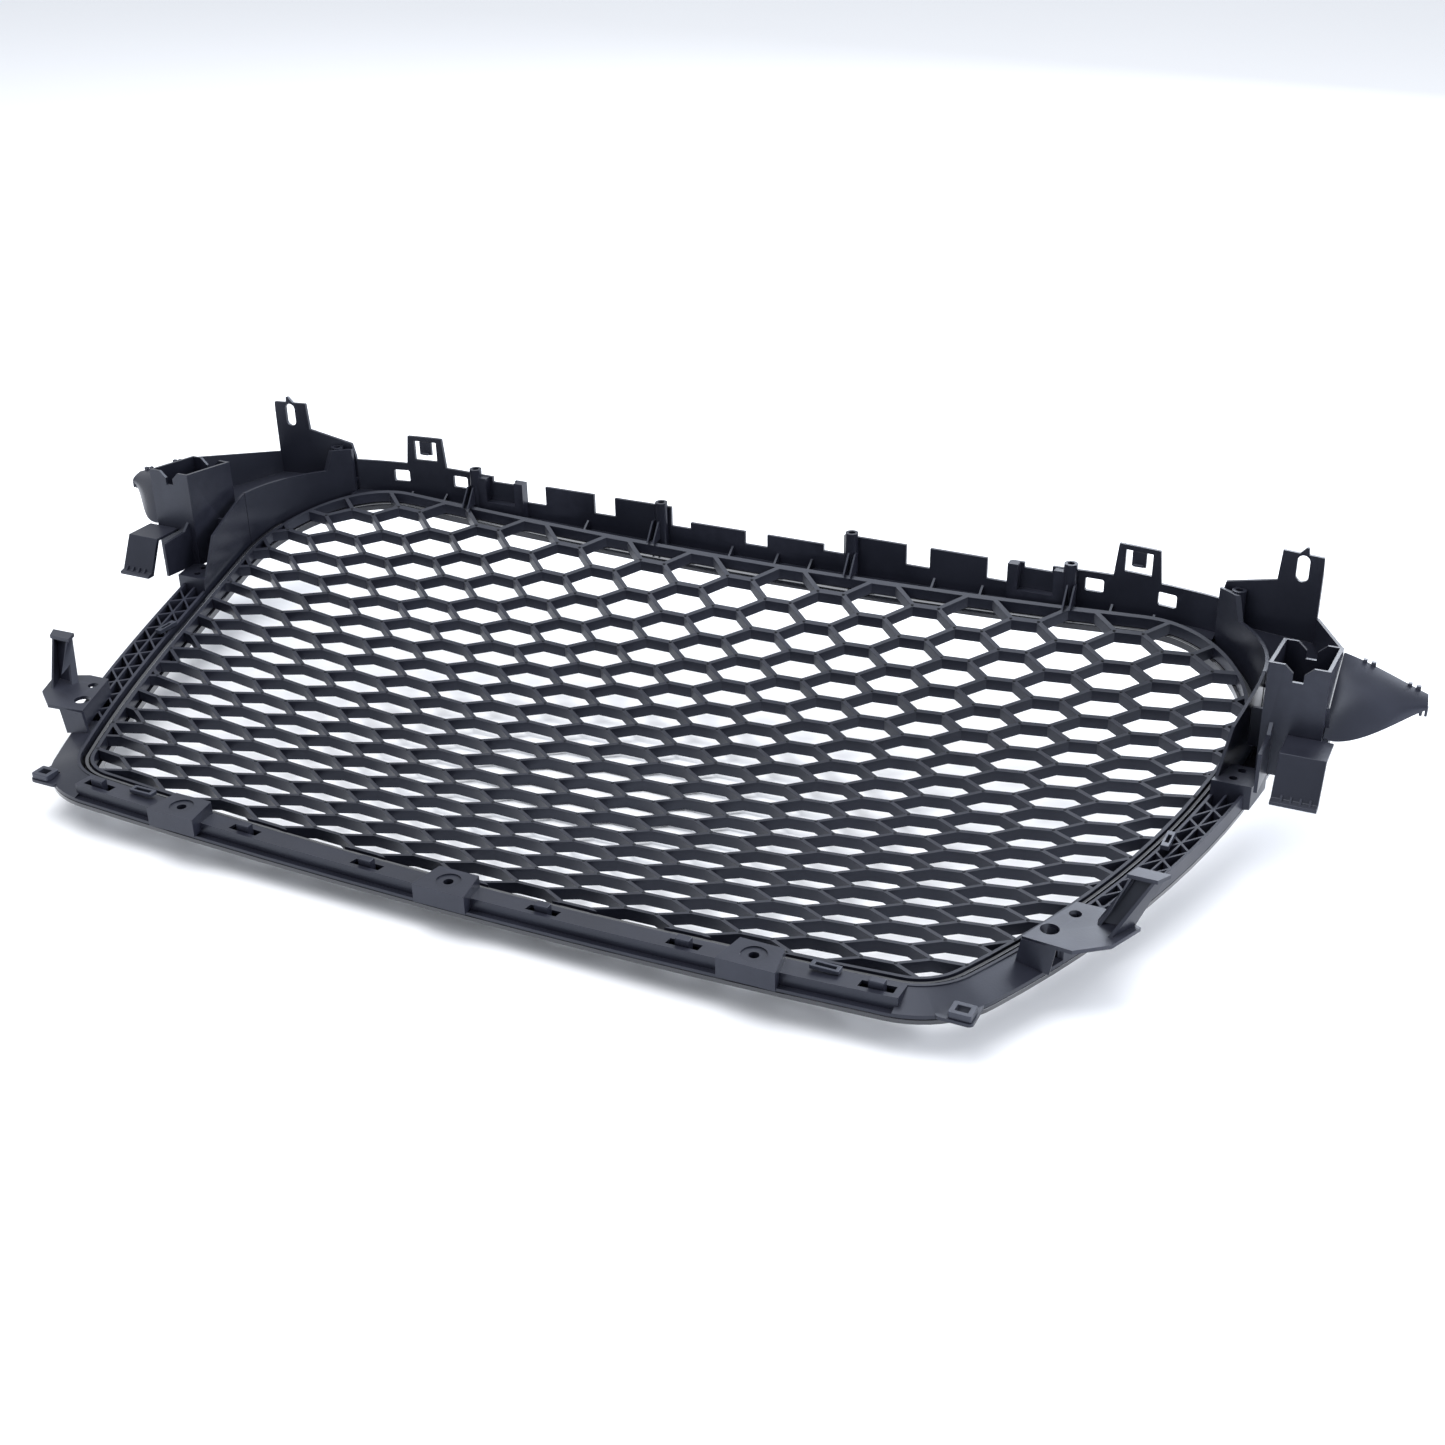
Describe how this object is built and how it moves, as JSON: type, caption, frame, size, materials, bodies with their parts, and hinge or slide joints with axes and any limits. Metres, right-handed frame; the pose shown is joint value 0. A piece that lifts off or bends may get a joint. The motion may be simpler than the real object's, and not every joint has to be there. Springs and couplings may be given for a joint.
{
  "type": "front grille",
  "caption": "Dished honeycomb car grille lying face down: gloss ring, moulded rear carrier with notched top rail, slotted ears, guide sockets, brackets and side air deflectors.",
  "frame": {"origin": "middle of the bounding box's foot, under the lowest point of the mesh's front face", "axes": "the grille lies face down: +Z is its rear, +Y its top edge, X runs across the car"},
  "size_m": [0.974, 0.4375, 0.1527],
  "materials": {
    "mesh_plastic": "fine grain, semi-matte black",
    "gloss_ring_plastic": "gloss black",
    "carrier_plastic": "satin moulded black",
    "clip_plastic": "satin dark grey",
    "latch_plastic": "satin moulded black",
    "deflector_plastic": "satin moulded black"
  },
  "bodies": {
    "carrier": {"bottom_rail": "carrier_plastic", "corner_collars": "clip_plastic", "honeycomb_mesh": "mesh_plastic", "left_air_deflector": "deflector_plastic", "left_clip_plate": "carrier_plastic", "left_guide_socket": "carrier_plastic", "left_lower_bracket": "carrier_plastic", "left_mounting_ear": "carrier_plastic", "left_side_rail": "carrier_plastic", "right_air_deflector": "deflector_plastic", "right_clip_plate": "carrier_plastic", "right_guide_socket": "carrier_plastic", "right_lower_bracket": "carrier_plastic", "right_mounting_ear": "carrier_plastic", "right_side_rail": "carrier_plastic", "ring_snap_lugs": "gloss_ring_plastic", "side_snap_clips": "clip_plastic", "snap_eyelets": "clip_plastic", "surround_ring": "gloss_ring_plastic", "top_rail": "carrier_plastic"},
    "right_latch": {"right_latch_tongue": "latch_plastic"},
    "left_latch": {"left_latch_tongue": "latch_plastic"}
  },
  "joints": [
    {"name": "right_latch_bend", "type": "hinge", "parent": "carrier", "child": "right_latch", "pos_m": [0.285, 0.21351, 0.12236], "axis": [1, 0, 0], "range_deg": [-8, 8], "stiffness_Nm_per_rad": 0.5},
    {"name": "left_latch_bend", "type": "hinge", "parent": "carrier", "child": "left_latch", "pos_m": [-0.285, 0.21351, 0.12236], "axis": [1, 0, 0], "range_deg": [-8, 8], "stiffness_Nm_per_rad": 0.5}
  ]
}
